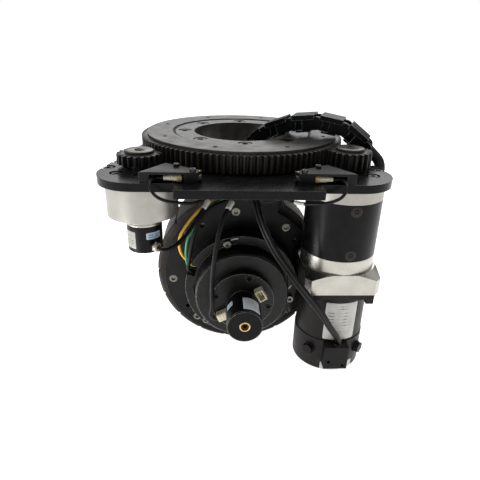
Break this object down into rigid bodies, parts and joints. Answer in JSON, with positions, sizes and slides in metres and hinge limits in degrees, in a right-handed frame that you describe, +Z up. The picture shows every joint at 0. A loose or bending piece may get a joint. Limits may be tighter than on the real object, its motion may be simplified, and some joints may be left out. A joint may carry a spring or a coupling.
{
  "type": "steerable drive wheel unit",
  "caption": "Steerable drive wheel unit: toothed slewing ring over a base plate, steering gearmotor, steering encoder, wheel with in-line traction motor, limit sensors and a cable carrier.",
  "frame": {"origin": "centre of the gear ring's top mounting face, on the steering axis", "axes": "+Z up along the steering axis, out of the mounting face; -Y towards the traction motor and its encoder; +X towards the steering gearmotor"},
  "size_m": [0.2922, 0.2712, 0.2902],
  "materials": {
    "blackened_steel": "black oxide, oiled",
    "inner_ring_steel": "black oxide, oiled",
    "pinion_steel": "black oxide",
    "seal_rubber": "matt",
    "bearing_steel": "ground and polished",
    "black_screw": "black oxide",
    "zinc_screw": "bright zinc",
    "black_anodised": "black anodised, fine satin",
    "bracket_black": "black anodised",
    "drum_black": "black anodised, turned",
    "encoder_black": "black anodised",
    "gearbox_black": "satin black",
    "motor_black": "brown-black paint",
    "silver_aluminium": "clear anodised, satin",
    "polished_aluminium": "polished",
    "gland_metal": "nickel plated",
    "nickel_brass": "nickel-plated brass",
    "plug_brass": "plain brass nut and cream body",
    "bush_brass": "turned brass",
    "cream_plastic": "moulded nylon",
    "black_plastic": "moulded",
    "chain_nylon": "moulded nylon, glossy",
    "cable_black": "extruded jacket",
    "motor_cable_black": "twin extruded jacket",
    "wire_yellow": "extruded insulation",
    "wire_green": "extruded insulation",
    "sleeve_braid": "braided sleeve",
    "winding_copper": "laminations with lacquered copper winding",
    "machined_steel": "machined",
    "rim_black": "black painted casting",
    "tyre_polyurethane": "dusty polyurethane"
  },
  "bodies": {
    "ring": {"gear_ring": "blackened_steel", "ring_seal": "seal_rubber"},
    "ball_race": {"race_balls": "bearing_steel"},
    "carriage": {"inner_ring": "inner_ring_steel", "inner_ring_screws": "black_screw", "base_plate": "black_anodised", "plate_screws": "black_screw", "sensor_brackets": "bracket_black", "limit_sensors": "nickel_brass", "sensor_plugs": "plug_brass", "sensor_cable_left": "cable_black", "sensor_cable_right": "cable_black", "encoder_housing": "silver_aluminium", "shaft_bearings": "bearing_steel", "steer_encoder": "encoder_black", "encoder_gland": "gland_metal", "steer_encoder_cable": "cable_black", "gearbox_flange": "silver_aluminium", "gearbox_body": "gearbox_black", "motor_adapter": "polished_aluminium", "steer_motor": "motor_black", "motor_end_bell": "motor_black", "brush_caps": "black_plastic", "terminal_box": "black_plastic", "steer_motor_cable": "motor_cable_black", "drive_bracket": "bracket_black", "bracket_screws": "zinc_screw", "hub_spindle": "machined_steel", "wheel_bearing_inner": "bearing_steel", "motor_drum": "drum_black", "motor_stator": "winding_copper", "drum_screws": "zinc_screw", "front_housing": "drum_black", "encoder_base": "drum_black", "encoder_base_screws": "black_screw", "traction_encoder": "encoder_black", "encoder_bush": "bush_brass", "encoder_connector": "cream_plastic", "encoder_socket": "cream_plastic", "traction_encoder_cable": "cable_black", "wire_yellow": "wire_yellow", "wire_green": "wire_green", "brake_cable": "cable_black", "chain_links": "chain_nylon", "chain_bracket": "chain_nylon", "cable_sleeve": "sleeve_braid", "cable_clamp": "black_plastic"},
    "steer_gear": {"steer_pinion": "pinion_steel", "steer_shaft": "machined_steel"},
    "encoder_gear": {"encoder_pinion": "pinion_steel", "encoder_shaft": "machined_steel"},
    "wheel": {"wheel_rim": "rim_black", "tyre": "tyre_polyurethane", "wheel_bearing_outer": "bearing_steel", "reducer_ring": "machined_steel", "hub_cover": "rim_black"},
    "rotor": {"motor_rotor": "machined_steel"},
    "planet_a": {"planet_1": "machined_steel"},
    "planet_b": {"planet_2": "machined_steel"},
    "planet_c": {"planet_3": "machined_steel"}
  },
  "joints": [
    {"name": "steering", "type": "hinge", "parent": "ring", "child": "carriage", "pos_m": [0, 0, 0], "axis": [0, 0, 1], "range_deg": [-120, 120]},
    {"name": "ball_roll", "type": "hinge", "parent": "ring", "child": "ball_race", "pos_m": [0, 0, 0], "axis": [0, 0, 1], "range_deg": [-60, 60]},
    {"name": "steer_pinion_spin", "type": "hinge", "parent": "carriage", "child": "steer_gear", "pos_m": [0.10382, -0.07824, 0], "axis": [0, 0, 1], "range_deg": [-665, 665]},
    {"name": "encoder_pinion_spin", "type": "hinge", "parent": "carriage", "child": "encoder_gear", "pos_m": [-0.10382, -0.07824, 0], "axis": [0, 0, 1], "range_deg": [-665, 665]},
    {"name": "wheel_spin", "type": "hinge", "parent": "carriage", "child": "wheel", "pos_m": [0, 0, -0.166], "axis": [0, 1, 0], "continuous": true},
    {"name": "rotor_spin", "type": "hinge", "parent": "carriage", "child": "rotor", "pos_m": [0, 0, -0.166], "axis": [0, 1, 0], "continuous": true},
    {"name": "planet_a_spin", "type": "hinge", "parent": "carriage", "child": "planet_a", "pos_m": [0, 0, -0.19412], "axis": [0, 1, 0], "continuous": true},
    {"name": "planet_b_spin", "type": "hinge", "parent": "carriage", "child": "planet_b", "pos_m": [-0.02436, 0, -0.15194], "axis": [0, 1, 0], "continuous": true},
    {"name": "planet_c_spin", "type": "hinge", "parent": "carriage", "child": "planet_c", "pos_m": [0.02436, 0, -0.15194], "axis": [0, 1, 0], "continuous": true}
  ],
  "couplings": [
    {"joint": "ball_roll", "follows": "steering", "ratio": 0.47},
    {"joint": "steer_pinion_spin", "follows": "steering", "ratio": 5.5},
    {"joint": "encoder_pinion_spin", "follows": "steering", "ratio": 5.5},
    {"joint": "rotor_spin", "follows": "wheel_spin", "ratio": -4},
    {"joint": "planet_a_spin", "follows": "wheel_spin", "ratio": 2.6667},
    {"joint": "planet_b_spin", "follows": "wheel_spin", "ratio": 2.6667},
    {"joint": "planet_c_spin", "follows": "wheel_spin", "ratio": 2.6667}
  ]
}
